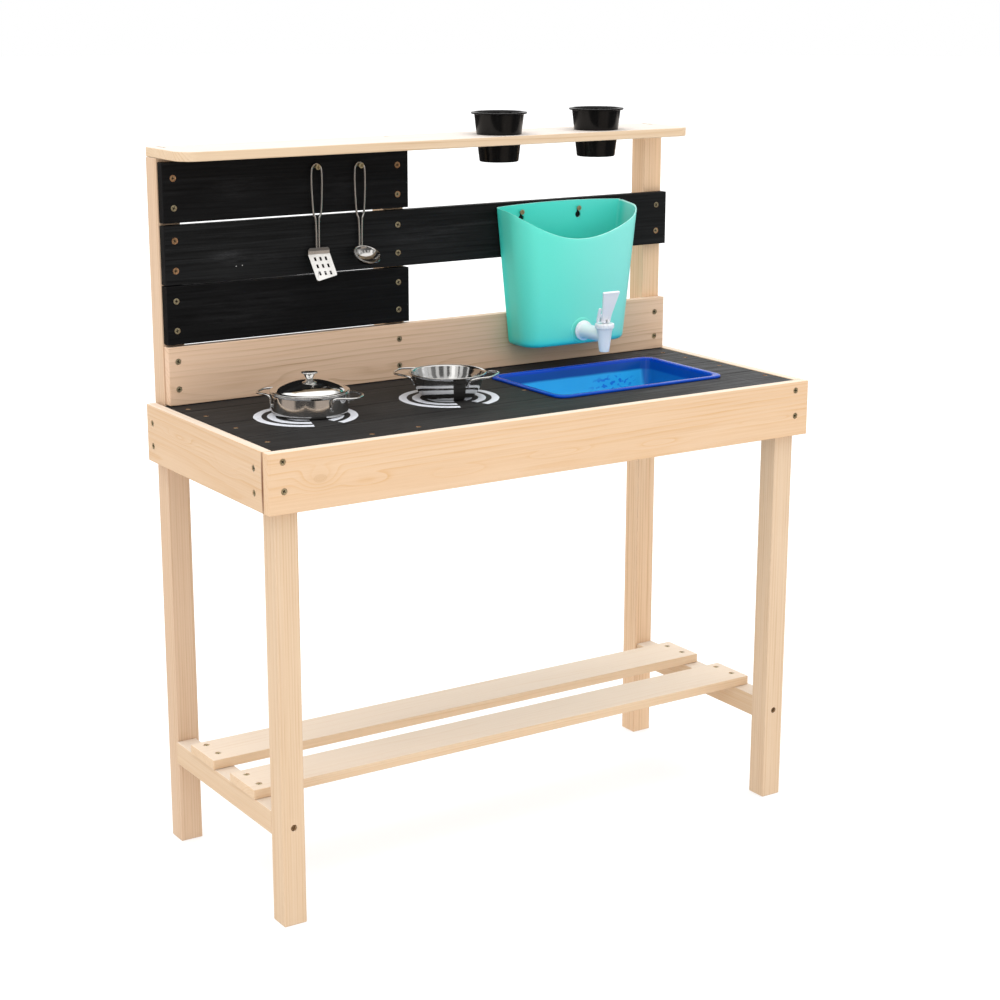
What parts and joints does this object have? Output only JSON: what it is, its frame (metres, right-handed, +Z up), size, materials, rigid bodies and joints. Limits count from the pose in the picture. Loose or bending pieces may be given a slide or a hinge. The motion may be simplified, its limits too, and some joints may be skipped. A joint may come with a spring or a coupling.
{
  "type": "mud kitchen",
  "caption": "Outdoor toy kitchen: pine frame, black boards, sink basin, wall-hung water box with tap, shelf with plant pots, toy pot, pan and hanging utensils.",
  "frame": {"origin": "centre of the footprint on the ground, midway between the side aprons and midway between the front apron's face and the rear faces of the posts", "axes": "+X to the right as seen from the front, +Y from the front apron towards the back boards, +Z up"},
  "size_m": [0.88, 0.375, 1.027],
  "materials": {
    "pine": "planed softwood, matt, clear grain",
    "black_wood": "black stained softwood, low sheen",
    "screw": "yellow passivated countersunk screw",
    "steel": "polished thin sheet and wire",
    "mint_plastic": "glossy mint green",
    "tap_plastic": "semi-gloss pale lavender white",
    "blue_plastic": "glossy, slightly translucent deep blue",
    "pot_plastic": "satin black",
    "rubber": "matt black"
  },
  "bodies": {
    "frame": {"leg_front_left": "pine", "leg_front_right": "pine", "post_rear_left": "pine", "post_rear_right": "pine", "post_middle": "pine", "apron_front": "pine", "apron_left": "pine", "apron_right": "pine", "apron_rear": "pine", "worktop_board_front": "black_wood", "worktop_board_centre_left": "black_wood", "worktop_board_centre_right": "black_wood", "worktop_board_rear": "black_wood", "worktop_strip_back": "black_wood", "worktop_ledger_left": "pine", "worktop_ledger_right": "pine", "worktop_batten_left": "pine", "worktop_batten_middle": "pine", "splash_plank": "pine", "back_board_lower": "black_wood", "back_board_long": "black_wood", "back_board_upper": "black_wood", "top_shelf": "pine", "shelf_rail_left": "pine", "shelf_rail_right": "pine", "shelf_slat_rear": "pine", "shelf_slat_front": "pine", "rail_screw_front_left": "screw", "rail_screw_front_right": "screw", "rail_screw_rear_left": "screw", "rail_screw_rear_right": "screw", "spatula_screw": "screw", "ladle_screw": "screw", "water_box_screw_left": "screw", "water_box_screw_right": "screw"},
    "plant_pot_left_body": {"plant_pot_left": "pot_plastic"},
    "plant_pot_right_body": {"plant_pot_right": "pot_plastic"},
    "water_box_body": {"water_box": "mint_plastic", "tap_washer": "rubber", "tap_body": "tap_plastic", "tap_nut": "tap_plastic", "tap_cap": "tap_plastic"},
    "tap_valve": {"tap_stem": "tap_plastic", "tap_lever_pin": "steel"},
    "tap_lever_body": {"tap_lever": "tap_plastic"},
    "sink": {"basin": "blue_plastic"},
    "pot": {"pot_body": "steel", "pot_handle_left": "steel", "pot_handle_right": "steel"},
    "lid": {"pot_lid": "steel", "lid_knob": "steel", "lid_knob_screw": "steel"},
    "pan": {"pan_body": "steel", "pan_handle_left": "steel", "pan_handle_right": "steel"},
    "spatula": {"spatula_handle": "steel", "spatula_blade": "steel"},
    "ladle": {"ladle_handle": "steel", "ladle_bowl": "steel"}
  },
  "joints": [
    {"name": "plant_pot_left_lift", "type": "slide", "parent": "frame", "child": "plant_pot_left_body", "axis": [0, 0, 1], "range_m": [0, 0.075]},
    {"name": "plant_pot_right_lift", "type": "slide", "parent": "frame", "child": "plant_pot_right_body", "axis": [0, 0, 1], "range_m": [0, 0.075]},
    {"name": "water_box_lift", "type": "slide", "parent": "frame", "child": "water_box_body", "axis": [0, 0, 1], "range_m": [0, 0.009]},
    {"name": "tap_stem_lift", "type": "slide", "parent": "water_box_body", "child": "tap_valve", "axis": [0, 0, 1], "range_m": [0, 0.002]},
    {"name": "tap_lever_tilt", "type": "hinge", "parent": "tap_valve", "child": "tap_lever_body", "pos_m": [0.223, 0.021, 0.7247], "axis": [1, 0, 0], "range_deg": [0, 35], "stiffness_Nm_per_rad": 0.025, "springref_deg": -22.92},
    {"name": "basin_lift", "type": "slide", "parent": "frame", "child": "sink", "axis": [0, 0, 1], "range_m": [0, 0.026]},
    {"name": "pot_lift", "type": "slide", "parent": "frame", "child": "pot", "axis": [0, 0, 1], "range_m": [0, 0.1]},
    {"name": "pot_lid_lift", "type": "slide", "parent": "pot", "child": "lid", "axis": [0, 0, 1], "range_m": [0, 0.06]},
    {"name": "pan_lift", "type": "slide", "parent": "frame", "child": "pan", "axis": [0, 0, 1], "range_m": [0, 0.1]},
    {"name": "spatula_swing", "type": "hinge", "parent": "frame", "child": "spatula", "pos_m": [-0.1913, 0.1359, 0.9606], "axis": [0, 1, 0], "range_deg": [-5, 30]},
    {"name": "ladle_swing", "type": "hinge", "parent": "frame", "child": "ladle", "pos_m": [-0.1226, 0.1359, 0.9596], "axis": [0, 1, 0], "range_deg": [-30, 5]}
  ],
  "couplings": [
    {"joint": "tap_stem_lift", "follows": "tap_lever_tilt", "m_per_rad": 0.0032}
  ]
}
